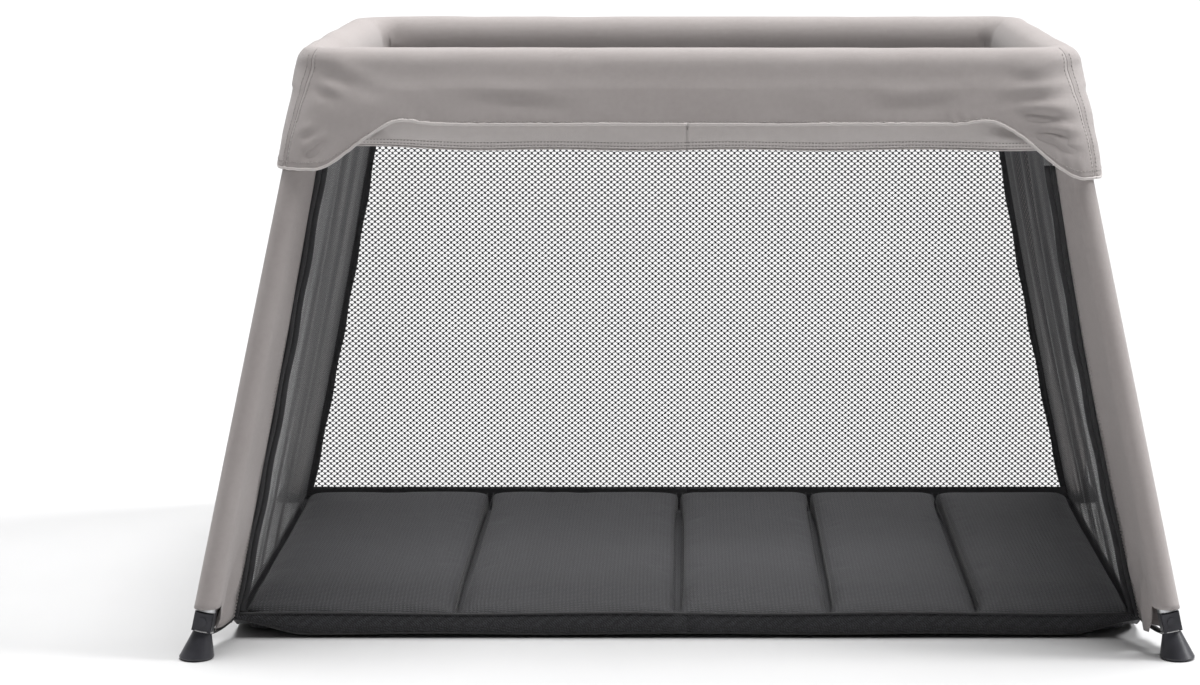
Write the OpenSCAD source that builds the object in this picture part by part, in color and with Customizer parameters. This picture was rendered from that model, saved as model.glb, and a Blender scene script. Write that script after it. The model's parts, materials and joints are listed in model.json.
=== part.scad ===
// Folding travel cot: a padded top rail on two hinged U-shaped tubes, four
// splayed legs, net sides, and a mattress of five panels that lies on the floor.
// Origin on the floor under the middle; +X along the length, +Z up.

/* [Overall] */
// Height of the top of the padded rail
top_z = 660; // [656:1:664]
// Half distance between the feet along the length
foot_x = 538; // [530:1:545]
// Half distance between the feet across the depth
foot_y = 387; // [382:1:392]

/* [Rail frame] */
// Half length of the rail tube's centreline
rail_x = 415; // [412:1:418]
// Half depth of the rail tube's centreline
rail_y = 280; // [278:1:282]
// Bend radius of the rail tube's corners
rail_bend = 42; // [40:1:44]
// Outer diameter of the rail and leg tubes
tube_d = 22; // [20:0.5:22]
// Wall of the rail and leg tubes
tube_wall = 1.5; // [1.2:0.1:2]
// Distance of each fold pivot from the middle of the long rail
fold_x = 40; // [38:1:42]

/* [Padding] */
// Width of the padded rail cover
pad_w = 56; // [54:1:58]
// Height of the padding, without its skirt
pad_h = 62; // [60:1:64]
// Height of the skirt's hem along the straight rails
hem_z = 577; // [574:1:580]
// Height of the lowest point of the corner flaps
flap_z = 520; // [515:1:530]

/* [Legs] */
// Height of each leg's pivot
pivot_z = 555; // [553:1:557]
// Distance of each leg's pivot from the middle, along the length
pivot_x = 424; // [422:1:426]
// Distance of each leg's pivot from the middle, across the depth
pivot_y = 291.5; // [290:0.5:293]

/* [Fabric box] */
// Half length of the floor tray
tray_x = 512; // [510:1:514]
// Half depth of the floor tray
tray_y = 306; // [304:1:308]
// Height of the tray's rim
tray_h = 30; // [26:1:34]
// Half depth of the net box under the rail
net_top_y = 284; // [282:1:286]
// Half length of the net box under the rail
net_top_x = 392; // [390:1:394]
// Thickness of the nets and valances
cloth_t = 1.4; // [1:0.1:2]
// Thickness of the tray's cloth
tray_t = 0.6; // [0.5:0.1:0.8]

/* [Mattress] */
// Half length of the mattress
mat_x = 502; // [498:1:503]
// Half depth of the mattress
mat_y = 296; // [290:1:297]
// Height of the mattress's top
mat_z = 36; // [32:1:40]
// Gap at each fold line
crease = 1.2; // [0.8:0.1:2]

/* [Hidden] */
$fn = 48;

FABRIC = "#bdb4ae";
NET = "#2c2d30";
BLACK = "#17181a";
METAL = "#b9bcc0";

rail_z = top_z - pad_h / 2 + 0.5;      // the rail tube's centreline
tube_r = tube_d / 2;
bore_r = tube_r - tube_wall;
slip = 0.4;                            // gap between the tube and the padding
bend_x = rail_x - rail_bend;
bend_y = rail_y - rail_bend;

// Each leg lies along its own frame's -Z, with its pivot along that frame's Y.
leg_run = [foot_x - pivot_x, foot_y - pivot_y, pivot_z];
leg_len = norm(leg_run);
leg_tip_x = atan2(leg_run[1], leg_run[2]);
leg_tip_y = -asin(leg_run[0] / leg_len);

pin_r = 4;
eye_r = 10;
eye_w = 10;
cheek_r = 11;
cheek_w = 4;
cheek_gap = 0.2;
neck = 14;                             // the head's collar starts here
collar_end = 22;                       // and the leg tube starts here
foot_h = 52;                           // the foot's fitting starts this far up the leg
net_z = 553;                           // the net meets the beige valance here
cover_end = 75;                        // the half covers start this far from the middle
wall = 2.5;                            // the skirt's thickness
press = 0.02;

function arc(cx, cy, r, from, to, n = 6) =
    [for (i = [0:n]) let (a = from + (to - from) * i / n) [cx + r * cos(a), cy + r * sin(a)]];
function leg_at(z) = [foot_x - leg_run[0] * z / pivot_z, foot_y - leg_run[1] * z / pivot_z, z];
function net_x_at(z) = tray_x - (tray_x - net_top_x) * z / (rail_z - pad_h / 2);
function net_y_at(z) = tray_y - (tray_y - net_top_y) * z / (rail_z - pad_h / 2);
function corner_at(z) = [net_x_at(z), net_y_at(z), z];

// Puts the far right quarter's part into another quarter of the cot.
module quarter(qx, qy) {
    if (qx < 0 && qy < 0) mirror([1, 0, 0]) mirror([0, 1, 0]) children();
    else if (qx < 0) mirror([1, 0, 0]) children();
    else if (qy < 0) mirror([0, 1, 0]) children();
    else children();
}

module leg_frame() {
    translate([pivot_x, pivot_y, pivot_z]) rotate([leg_tip_x, 0, 0]) rotate([0, leg_tip_y, 0]) children();
}

// A round bar from point a to point b.
module bar(a, b, r) {
    v = b - a;
    translate(a) rotate([0, acos(v[2] / norm(v)), atan2(v[1], v[0])]) cylinder(h = norm(v), r = r);
}

// A cylinder along Y, centred on the origin.
module across(r, h) {
    rotate([90, 0, 0]) cylinder(r = r, h = h, center = true);
}

// ---- Rail frame ----

// Sweeps a section along one quarter of the rail: x of the section points outwards.
module rail_quarter(start) {
    translate([start, rail_y, rail_z]) rotate([90, 0, 90])
        linear_extrude(bend_x - start) children();
    translate([bend_x, bend_y, rail_z]) rotate_extrude(angle = 90) translate([rail_bend, 0]) children();
    translate([rail_x, 0, rail_z]) rotate([90, 0, 0]) mirror([0, 0, 1])
        linear_extrude(bend_y) children();
}

module half_rail(start) {
    quarter(1, 1) rail_quarter(start) children();
    quarter(1, -1) rail_quarter(start) children();
}

module rail_tube() {
    color(METAL) difference() {
        half_rail(fold_x + collar_end) circle(tube_r);
        half_rail(fold_x + collar_end - 1) circle(bore_r);
    }
}

// The flat tongue in each tube's end, with the eye that turns on the fold pin.
module hinge_tongue() {
    color(BLACK) translate([fold_x, rail_y, rail_z]) difference() {
        union() {
            across(eye_r - 1, eye_w);
            translate([0, -eye_w / 2, 1 - eye_r]) cube([collar_end, eye_w, 2 * eye_r - 2]);
            translate([collar_end - 1, 0, 0]) rotate([0, 90, 0]) cylinder(r = bore_r - 0.1, h = 35);
        }
        across(pin_r + 0.05, eye_w + 2);
    }
}

module hinge_tongues() {
    hinge_tongue();
    mirror([0, 1, 0]) hinge_tongue();
}

housing_r = 17;
housing_w = 26;
slot_w = eye_w + 2 * cheek_gap;        // the slot that a tongue swings up through
slot_out = 20;
slot_up = 30;
button_r = 6;
flange_r = 8;
button_out = 2.5;
button_travel = 3;

module hinge_housing() {
    color(BLACK) translate([0, rail_y, rail_z]) difference() {
        union() {
            for (s = [-1, 1]) translate([s * fold_x, 0, 0]) across(housing_r, housing_w);
            cube([2 * fold_x, housing_w, 2 * housing_r], center = true);
        }
        for (s = [0, 1]) mirror([s, 0, 0]) translate([fold_x, 0, 0]) {
            across(pin_r + press, housing_w + 2);
            across(eye_r - 0.6, eye_w + 2 * cheek_gap);
            translate([0, -slot_w / 2, 0.8 - eye_r]) cube([slot_out, slot_w, slot_up]);
            translate([0.6 - eye_r, -slot_w / 2, 0]) cube([slot_up, slot_w, slot_out]);
        }
        translate([0, 0, -housing_r - 1]) cylinder(r = button_r + 0.2, h = 6);
        translate([0, 0, 4 - housing_r]) cylinder(r = flange_r + 0.3, h = 9);
    }
}

module hinge_pins() {
    color(METAL) for (s = [-1, 1])
        translate([s * fold_x, rail_y, rail_z]) across(pin_r, housing_w - 1);
}

module release_button() {
    color("#8a8d90") translate([0, rail_y, rail_z - housing_r]) {
        translate([0, 0, -button_out]) cylinder(r = button_r, h = button_out + 5);
        translate([0, 0, 4.1]) cylinder(r = flange_r, h = 2);
    }
}

spring_turns = 3;
spring_r = 4.6;
wire_r = 0.5;
spring_low = 6.8;
spring_high = 12.3;
spring_steps = 12 * spring_turns;
spring_points = [for (i = [0:spring_steps]) let (a = 30 * i)
    for (k = [0:5]) let (w = 60 * k, r = spring_r + wire_r * cos(w))
        [r * cos(a), r * sin(a),
         spring_low + (spring_high - spring_low) * i / spring_steps + wire_r * sin(w)]];
spring_faces = concat([[0, 1, 2, 3, 4, 5]],
    [for (i = [0:spring_steps - 1]) for (k = [0:5])
        [6 * i + k, 6 * i + 6 + k, 6 * i + 6 + (k + 1) % 6, 6 * i + (k + 1) % 6]],
    [[for (k = [5:-1:0]) 6 * spring_steps + k]]);

module button_spring() {
    color(METAL) translate([0, rail_y, rail_z - housing_r]) polyhedron(spring_points, spring_faces);
}

// ---- Padding ----

half_w = pad_w / 2;
pad_top = top_z - rail_z;
pad_low = pad_top - pad_h;
outer_round = 25;
inner_round = 10;
low_round = 7;

// Padding round the tube: flat inner side, full round outer shoulder.
module pad_section() {
    polygon(concat(
        arc(half_w - low_round, pad_low + low_round, low_round, -90, 0),
        arc(half_w - outer_round, pad_top - outer_round, outer_round, 0, 90),
        arc(inner_round - half_w, pad_top - inner_round, inner_round, 90, 180),
        arc(low_round - half_w, pad_low + low_round, low_round, 180, 270)));
}

// The single cloth that hangs below the padding on its outer side.
module skirt_section() {
    translate([half_w - 0.1 - wall, hem_z - rail_z]) square([wall, pad_low + 10 + rail_z - hem_z]);
}

flap_reach_x = 324;                    // the flaps start to leave the hem here, along the length
flap_reach_y = 196;                    // and here across the depth
flap_top = [443, 310, 50];             // half length, half depth and corner radius at the padding
flap_hem = [456, 321, 35];             // the same at the flaps' lowest edge
flap_join = rail_z + pad_low + 8;

// The block inside a flap's outer face, made smaller by inset.
module flap_block(inset) {
    hull() for (level = [[flap_top, flap_join], [flap_hem, flap_z - (inset > 0 ? 1 : 0)]]) {
        size = level[0];
        translate([size[0] - size[2], size[1] - size[2], level[1]])
            cylinder(r = size[2] - inset, h = inset > 0 ? 1 : 0.01, $fn = 32);
        translate([flap_reach_x - 60, 0, level[1]])
            cube([60, size[1] - inset, inset > 0 ? 1 : 0.01]);
        translate([0, flap_reach_y - 60, level[1]])
            cube([size[0] - inset, 60, inset > 0 ? 1 : 0.01]);
    }
}

// What is kept of that shell: a curved hem from the skirt down to the corner.
module flap_window(reach, full) {
    drop = hem_z - flap_z;
    polygon([[reach, flap_join], [reach, hem_z], [reach + 0.3 * full, hem_z - 0.3 * drop],
             [reach + 0.6 * full, hem_z - 0.75 * drop], [reach + full, flap_z],
             [reach + full + 140, flap_z], [reach + full + 140, flap_join]]);
}

module corner_flap() {
    intersection() {
        difference() {
            flap_block(0);
            flap_block(wall);
        }
        union() {
            translate([0, rail_y - 20, 0]) rotate([90, 0, 0]) mirror([0, 0, 1])
                linear_extrude(80) flap_window(flap_reach_x, 85);
            translate([rail_x - 20, 0, 0]) rotate([90, 0, 90])
                linear_extrude(80) flap_window(flap_reach_y, 80);
        }
    }
}

module rail_cover() {
    color(FABRIC) difference() {
        union() {
            half_rail(cover_end) pad_section();
            for (s = [0, 1]) mirror([0, s, 0]) {
                translate([cover_end, rail_y, rail_z]) rotate([90, 0, 90])
                    linear_extrude(flap_reach_x + 1 - cover_end) skirt_section();
                corner_flap();
            }
            translate([rail_x, -flap_reach_y - 1, rail_z]) rotate([90, 0, 0]) mirror([0, 0, 1])
                linear_extrude(2 * flap_reach_y + 2) skirt_section();
        }
        half_rail(cover_end - 1) circle(tube_r + slip);
        for (s = [0, 1]) mirror([0, s, 0]) {
            translate([bend_x, bend_y, rail_z]) rotate_extrude(angle = 90)
                translate([rail_bend, 0]) circle(elbow_r + slip);
            bracket_arm(arm_r + slip, 1);
        }
    }
}

module middle_cover() {
    color(FABRIC) difference() {
        translate([0.3 - cover_end, rail_y, rail_z]) rotate([90, 0, 90])
            linear_extrude(2 * cover_end - 0.6) {
            pad_section();
            skirt_section();
        }
        translate([-cover_end, rail_y, rail_z]) rotate([0, 90, 0])
            cylinder(r = tube_r + slip, h = 2 * cover_end);
        translate([-fold_x - housing_r - 1, rail_y - housing_w / 2 - slip, rail_z - housing_r - slip])
            cube([2 * (fold_x + housing_r + 1), housing_w + 2 * slip, 2 * (housing_r + slip)]);
        translate([0, rail_y, rail_z + pad_low - 1]) cylinder(r = 10, h = 20);
    }
}

// ---- Corner brackets and legs ----

elbow_r = 14;
elbow_inset = 5;                       // the elbow stops this many degrees short of the bend's ends
arm_r = 13;
arm_top = [bend_x + rail_bend * sin(45), bend_y + rail_bend * sin(45), rail_z];
leg_up = -leg_run / leg_len;
arm_low = [pivot_x, pivot_y, pivot_z] + 20 * [leg_up[0], leg_up[1], -leg_up[2]];

module bracket_arm(r, extra) {
    v = (arm_low - arm_top) / norm(arm_low - arm_top);
    bar(arm_top, arm_low + extra * v, r);
}

// The elbow round the rail's corner, with the fork that holds the leg.
module corner_bracket() {
    color(BLACK) difference() {
        union() {
            translate([bend_x, bend_y, rail_z]) rotate([0, 0, elbow_inset])
                rotate_extrude(angle = 90 - 2 * elbow_inset) translate([rail_bend, 0]) circle(elbow_r);
            bracket_arm(arm_r, 0);
            leg_frame() for (s = [-1, 1]) translate([0, s * (eye_w / 2 + cheek_gap + cheek_w / 2), 0]) {
                across(cheek_r, cheek_w);
                translate([-9, -cheek_w / 2, 0]) cube([18, cheek_w, 27]);
            }
        }
        translate([bend_x, bend_y, rail_z]) rotate_extrude(angle = 90)
            translate([rail_bend, 0]) circle(tube_r + 0.1);
        leg_frame() across(pin_r + press, 40);
    }
}

module leg_pin() {
    color(METAL) leg_frame() across(pin_r, eye_w + 2 * (cheek_gap + cheek_w));
}

module leg_pins() {
    leg_pin();
    mirror([0, 1, 0]) leg_pin();
}

module leg_head() {
    color(BLACK) leg_frame() difference() {
        union() {
            across(eye_r, eye_w);
            translate([-9, -eye_w / 2, -neck - 1]) cube([18, eye_w, neck + 1]);
            translate([0, 0, -collar_end]) cylinder(r = tube_r, h = collar_end - neck);
            translate([0, 0, -collar_end - 30]) cylinder(r = bore_r - 0.1, h = 31);
        }
        across(pin_r + 0.05, eye_w + 2);
    }
}

module leg_tube() {
    color(METAL) leg_frame() translate([0, 0, foot_h - leg_len]) difference() {
        cylinder(r = tube_r, h = leg_len - foot_h - collar_end - 0.2);
        translate([0, 0, -1]) cylinder(r = bore_r, h = leg_len);
    }
}

sleeve_top = 45;                       // from the pivot, along the leg
sleeve_low = 80;                       // from the floor, along the leg
gusset_top = 528;
gusset_low = 76;
gusset_steps = 4;
sleeve_t = 1.2;

// Cloth tube on the leg, with the gusset that ties it to the corner of the nets.
module leg_sleeve() {
    color(FABRIC) difference() {
        union() {
            leg_frame() translate([0, 0, sleeve_low - leg_len])
                cylinder(r = tube_r + 0.3 + sleeve_t, h = leg_len - sleeve_low - sleeve_top);
            for (i = [0:gusset_steps - 1]) hull() for (k = [i, i + 1])
                let (z = gusset_low + (gusset_top - gusset_low) * k / gusset_steps) {
                    translate(leg_at(z) - [tube_r, 0, 0]) sphere(0.8, $fn = 8);
                    translate(corner_at(z) + [4.6, 4.6, 0]) sphere(0.8, $fn = 8);
                }
        }
        leg_frame() translate([0, 0, -leg_len]) cylinder(r = tube_r + 0.3, h = leg_len);
    }
}

foot_r = 19;
block_w = 21;
cone_top = 9.5;
cone_high = 30;
pad_round = 1.5;
strap_dir = [tray_x - foot_x, tray_y - foot_y, 0] / norm([tray_x - foot_x, tray_y - foot_y, 0]);
strap_turn = atan2(strap_dir[1], strap_dir[0]);
lug_z = 18;
lug_t = 5;
lug_end = 20;

// Plug, square fitting and leaning cone with a round pad, with the lug for the strap.
module foot() {
    color(BLACK) {
        intersection() {
            leg_frame() translate([0, 0, -leg_len]) {
                translate([0, 0, foot_h - 3]) cylinder(r = bore_r - 0.1, h = 43);
                translate([-block_w / 2, -block_w / 2, 30]) cube([block_w, block_w, foot_h - 30.2]);
            }
            cube([foot_x + 2 * foot_r, foot_y + 2 * foot_r, foot_h * 2]);
        }
        hull() {
            translate([foot_x, foot_y, 0]) cylinder(r = foot_r - pad_round, h = 1);
            translate([foot_x, foot_y, pad_round]) cylinder(r = foot_r, h = 1.5);
            translate(leg_at(cone_high)) cylinder(r = cone_top, h = 1);
        }
        translate([foot_x, foot_y, lug_z]) rotate([0, 0, strap_turn])
            translate([4, -6, 0]) cube([lug_end - 4, 12, lug_t]);
    }
}

// Square plate with the head of the screw that holds the foot on the tube.
module foot_plate() {
    color(BLACK) leg_frame() translate([0, block_w / 2 + 0.2, 41 - leg_len]) {
        translate([-9.5, 0, -9.5]) cube([19, 2.5, 19]);
        translate([0, 1, 0]) rotate([-90, 0, 0]) cylinder(r = 4.6, h = 3.2);
    }
}

module foot_strap() {
    a = [foot_x, foot_y, lug_z + lug_t / 2] + (lug_end + 0.6) * strap_dir;
    b = [tray_x, tray_y, 16] - 6 * strap_dir + [3, 3, 0];
    v = b - a;
    color(BLACK) translate(a) rotate([0, 0, atan2(v[1], v[0])])
        rotate([0, atan2(-v[2], norm([v[0], v[1]])), 0]) translate([0, -5, 0]) cube([norm(v), 10, 1.6]);
}

module foot_straps() {
    foot_strap();
    mirror([0, 1, 0]) foot_strap();
}

// ---- Nets, valances and tray ----

tray_low = 3.5;                        // the tray's underside
net_low = tray_h + 0.5;
net_high = rail_z + pad_low - 1;
notch_x = 30;                          // the nets are cut back round the brackets
notch_z = 535;
edge = 5;                              // from a net's edge to the corner line

// Outline of a side: half widths grow towards the floor.
module side_outline(from, to, low_half, high_half) {
    polygon([[-low_half, from], [low_half, from], [high_half, to], [-high_half, to]]);
}

// Stands an outline of width and height up as a leaning sheet on the +Y side.
module lean_y(z0) {
    slope = (tray_y - net_top_y) / (rail_z - pad_h / 2);
    translate([0, net_y_at(z0), z0]) rotate([90 + atan(slope), 0, 0]) translate([0, -z0, 0])
        linear_extrude(cloth_t) children();
}

module lean_x(z0) {
    slope = (tray_x - net_top_x) / (rail_z - pad_h / 2);
    translate([net_x_at(z0), 0, z0]) rotate([0, -atan(slope), 0]) rotate([90, 0, 90])
        translate([0, -z0, -cloth_t]) linear_extrude(cloth_t) children();
}

module side_net() {
    color(NET) lean_y(net_low) union() {
        side_outline(net_low, notch_z, net_x_at(net_low) - edge, net_x_at(notch_z) - edge);
        side_outline(notch_z - 1, net_z - 0.3, net_x_at(notch_z) - notch_x, net_x_at(net_z) - notch_x);
    }
}

module side_valance() {
    color(FABRIC) lean_y(net_low)
        side_outline(net_z, net_high, net_x_at(net_z) - notch_x, net_x_at(net_high) - notch_x);
}

module end_net() {
    color(NET) lean_x(net_low) union() {
        side_outline(net_low, notch_z, net_y_at(net_low) - edge, net_y_at(notch_z) - edge);
        side_outline(notch_z - 1, net_z - 0.3, net_y_at(notch_z) - notch_x, net_y_at(net_z) - notch_x);
    }
}

module end_valance() {
    color(FABRIC) lean_x(net_low)
        side_outline(net_z, net_high, net_y_at(net_z) - notch_x, net_y_at(net_high) - notch_x);
}

module corner_piping() {
    color(BLACK) for (qx = [-1, 1]) for (qy = [-1, 1])
        quarter(qx, qy) bar(corner_at(tray_h), corner_at(notch_z - 6), 3);
}

module floor_tray() {
    color(NET) translate([0, 0, tray_low]) difference() {
        translate([-tray_x, -tray_y, 0]) cube([2 * tray_x, 2 * tray_y, tray_h - tray_low - 0.5]);
        translate([tray_t - tray_x, tray_t - tray_y, tray_t])
            cube([2 * (tray_x - tray_t), 2 * (tray_y - tray_t), tray_h]);
    }
}

// ---- Mattress ----

fold_lines = [0, 0.242, 0.49, 0.66, 0.826, 1];
mat_low = tray_low + tray_t + 0.2;      // the mattress's underside

module mattress_panel(i) {
    from = -mat_x + 2 * mat_x * fold_lines[i - 1] + (i > 1 ? crease / 2 : 0);
    to = -mat_x + 2 * mat_x * fold_lines[i] - (i < 5 ? crease / 2 : 0);
    color(NET) translate([from, -mat_y, mat_low]) cube([to - from, 2 * mat_y, mat_z - mat_low]);
}

// ---- Nodes ----

quarter(1, -1) hinge_housing();  // near_hinge_housing
hinge_housing();  // far_hinge_housing
quarter(1, -1) hinge_pins();  // near_hinge_pins
hinge_pins();  // far_hinge_pins
quarter(1, -1) release_button();  // near_release_button
release_button();  // far_release_button
quarter(1, -1) button_spring();  // near_button_spring
button_spring();  // far_button_spring
quarter(1, -1) middle_cover();  // near_middle_cover
middle_cover();  // far_middle_cover
quarter(1, -1) side_net();  // near_net
side_net();  // far_net
quarter(1, -1) side_valance();  // near_valance
side_valance();  // far_valance
corner_piping();
floor_tray();

for (side = [["left", -1], ["right", 1]]) {
    quarter(side[1], 1) rail_tube();
    quarter(side[1], 1) hinge_tongues();
    quarter(side[1], 1) rail_cover();
    quarter(side[1], 1) leg_pins();
    quarter(side[1], 1) end_net();
    quarter(side[1], 1) end_valance();
    quarter(side[1], 1) foot_straps();
}

for (c = [["near_left", -1, -1], ["near_right", 1, -1], ["far_left", -1, 1], ["far_right", 1, 1]]) {
    quarter(c[1], c[2]) corner_bracket();
    quarter(c[1], c[2]) leg_head();
    quarter(c[1], c[2]) leg_tube();
    quarter(c[1], c[2]) leg_sleeve();
    quarter(c[1], c[2]) foot();
    quarter(c[1], c[2]) foot_plate();
}

for (i = [1:5]) mattress_panel(i);
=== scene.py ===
"""Folding travel cot: padded greige rail, splayed legs in cloth sleeves, black nets and mattress."""

import json
from math import acos, copysign, cos, exp, hypot, pi, radians, sin

import bpy
import numpy as np
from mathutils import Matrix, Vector, noise


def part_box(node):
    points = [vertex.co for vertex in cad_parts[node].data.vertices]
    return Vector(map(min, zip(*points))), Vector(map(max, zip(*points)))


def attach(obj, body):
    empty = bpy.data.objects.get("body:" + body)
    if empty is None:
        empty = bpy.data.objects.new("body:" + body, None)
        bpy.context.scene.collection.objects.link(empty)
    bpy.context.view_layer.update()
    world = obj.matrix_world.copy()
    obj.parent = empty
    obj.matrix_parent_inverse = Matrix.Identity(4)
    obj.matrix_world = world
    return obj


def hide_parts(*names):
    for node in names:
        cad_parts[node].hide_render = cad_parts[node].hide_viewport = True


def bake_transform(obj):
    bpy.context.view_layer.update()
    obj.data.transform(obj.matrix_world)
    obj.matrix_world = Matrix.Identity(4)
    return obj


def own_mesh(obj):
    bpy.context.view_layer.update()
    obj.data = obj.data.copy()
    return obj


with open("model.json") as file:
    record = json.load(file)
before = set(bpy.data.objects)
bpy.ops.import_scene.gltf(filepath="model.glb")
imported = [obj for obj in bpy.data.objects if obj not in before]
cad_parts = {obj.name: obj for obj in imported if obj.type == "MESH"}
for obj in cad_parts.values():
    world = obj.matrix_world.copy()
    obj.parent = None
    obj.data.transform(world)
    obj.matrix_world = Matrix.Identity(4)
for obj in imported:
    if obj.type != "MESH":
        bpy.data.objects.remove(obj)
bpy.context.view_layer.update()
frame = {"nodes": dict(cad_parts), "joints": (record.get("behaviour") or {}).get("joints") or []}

# ---------------------------------------------------------------- measures from the frame

JOINTS = {joint["name"]: joint for joint in frame["joints"]}
SIDES = {"left": -1, "right": 1}
ENDS = {"near": -1, "far": 1}
CORNERS = {f"{end}_{side}": (SIDES[side], ENDS[end]) for end in ENDS for side in SIDES}

tray_low, tray_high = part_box("floor_tray")
cover_low, cover_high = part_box("right_rail_cover")
middle_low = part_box("far_middle_cover")[0]
valance_low, valance_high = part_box("far_valance")
tube_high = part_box("right_rail_tube")[1]
foot_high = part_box("far_right_foot")[1]

TUBE_R = 0.011
FOOT_PAD_R = 0.019
SLEEVE_R = 0.0122
GUSSET_R = 0.0138
CLOTH_T = 0.0007
BAND_T = 0.0009
TAPE_T = 0.0008
RAIL_X = tube_high.x - TUBE_R                     # the rail tube's centreline
RAIL_Y = tube_high.y - TUBE_R
RAIL_Z = tube_high.z - TUBE_R
TOP_Z = cover_high.z
PAD_LOW = TOP_Z - 2 * (TOP_Z + 0.0005 - RAIL_Z)   # the padding's underside
HEM_Z = middle_low.z + 0.0015
FLAP_Z = cover_low.z
PIVOT = Vector(JOINTS["far_right_leg_fold"]["pos_m"])
FOOT = Vector((foot_high.x - FOOT_PAD_R, foot_high.y - FOOT_PAD_R, 0))
TRAY_X, TRAY_Y = tray_high.x, tray_high.y
TRAY_H = 0.0285
BOX_TOP_X, BOX_TOP_Y, BOX_TOP_Z = 0.392, 0.284, PAD_LOW + 0.0005
BOW = {"near_left": 0.0025, "near_right": 0.008, "far_left": 0.004, "far_right": 0.004}


def mix(a, b, t):
    return a + (b - a) * t


def smooth(t):
    t = np.clip(t, 0, 1)
    return t * t * (3 - 2 * t)


def wobble(x, y, z):
    return noise.noise(Vector((x, y, z)))


def corner_line(corner, z):
    """The stitched edge where two nets meet, which the cloth pulls a little inward."""
    sx, sy = CORNERS[corner]
    t = z / BOX_TOP_Z
    bow = BOW[corner] * sin(pi * min(max(t, 0), 1))
    return Vector((sx * (mix(TRAY_X, BOX_TOP_X, t) - bow), sy * mix(TRAY_Y, BOX_TOP_Y, t), z))


def leg_line(corner, z):
    sx, sy = CORNERS[corner]
    t = z / PIVOT.z
    return Vector((sx * mix(FOOT.x, PIVOT.x, t), sy * mix(FOOT.y, PIVOT.y, t), z))


def leg_direction(corner):
    return (leg_line(corner, 1) - leg_line(corner, 0)).normalized()


# ---------------------------------------------------------------- mesh helpers

def new_object(name, verts, faces, material):
    mesh = bpy.data.meshes.new(name)
    mesh.from_pydata([tuple(map(float, v)) for v in verts], [], faces)
    mesh.polygons.foreach_set("use_smooth", [True] * len(mesh.polygons))
    mesh.materials.append(material)
    mesh.update()
    obj = bpy.data.objects.new(name, mesh)
    bpy.context.collection.objects.link(obj)
    return obj


def grid_faces(rows, cols, wrap_rows=False, wrap_cols=False, skip=None):
    faces = []
    for i in range(rows if wrap_rows else rows - 1):
        for j in range(cols if wrap_cols else cols - 1):
            if skip and skip(i, j):
                continue
            a, b = i * cols + j, i * cols + (j + 1) % cols
            c, d = ((i + 1) % rows) * cols + (j + 1) % cols, ((i + 1) % rows) * cols + j
            faces.append((a, b, c, d))
    return faces


def sheet_grid(name, points, material, **wrap):
    """A sheet from a grid of points, open or wrapped round into a tube."""
    return new_object(name, points.reshape(-1, 3), grid_faces(*points.shape[:2], **wrap), material)


def tube(name, path, radius, material, sides=10, caps=True):
    """A round cord along a path; radius is a number or one for each point."""
    path = [Vector(p) for p in path]
    radii = radius if hasattr(radius, "__len__") else [radius] * len(path)
    verts, side = [], None
    for i, point in enumerate(path):
        ahead = path[min(i + 1, len(path) - 1)] - path[max(i - 1, 0)]
        ahead.normalize()
        if side is None:
            side = ahead.orthogonal()
        side = (side - ahead * side.dot(ahead)).normalized()
        across = ahead.cross(side)
        for k in range(sides):
            angle = 2 * pi * k / sides
            verts.append(point + radii[i] * (side * cos(angle) + across * sin(angle)))
    faces = grid_faces(len(path), sides, wrap_cols=True)
    if caps:
        faces += [tuple(range(sides - 1, -1, -1)),
                  tuple(range((len(path) - 1) * sides, len(path) * sides))]
    return new_object(name, verts, faces, material)


def resample(path, step):
    """Evenly spaced points along a path, with the direction at each."""
    path = np.array([tuple(p) for p in path])
    lengths = np.concatenate([[0], np.cumsum(np.linalg.norm(np.diff(path, axis=0), axis=1))])
    count = max(2, int(lengths[-1] / step))
    where = np.linspace(0, lengths[-1], count)
    points = np.stack([np.interp(where, lengths, path[:, k]) for k in range(3)], axis=1)
    return points, np.gradient(points, axis=0)


def stitches(name, path, normals, material, length=0.0027, pitch=0.0042, thick=0.0006):
    """A row of small raised stitches along a path that lies on a surface."""
    points, ahead = resample(path, pitch)
    source = np.array([tuple(p) for p in path])
    normals = np.array([tuple(n) for n in normals])
    nearest = [int(np.argmin(((source - p) ** 2).sum(axis=1))) for p in points]
    verts, faces = [], []
    for point, along, index in zip(points, ahead, nearest):
        along = Vector(along).normalized()
        out = Vector(normals[index]).normalized()
        side = along.cross(out)
        base = len(verts)
        for at, size in ((-0.5, 0.35), (-0.3, 1), (0.3, 1), (0.5, 0.35)):
            centre = Vector(point) + along * at * length
            for k in range(6):
                angle = pi * k / 3
                verts.append(centre + thick * size * (side * cos(angle) + out * sin(angle)))
        for ring in range(3):
            for k in range(6):
                a, b = base + ring * 6 + k, base + ring * 6 + (k + 1) % 6
                faces.append((a, b, b + 6, a + 6))
        faces += [tuple(base + k for k in range(5, -1, -1)), tuple(base + 18 + k for k in range(6))]
    return new_object(name, verts, faces, material)


# ---------------------------------------------------------------- materials

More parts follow.
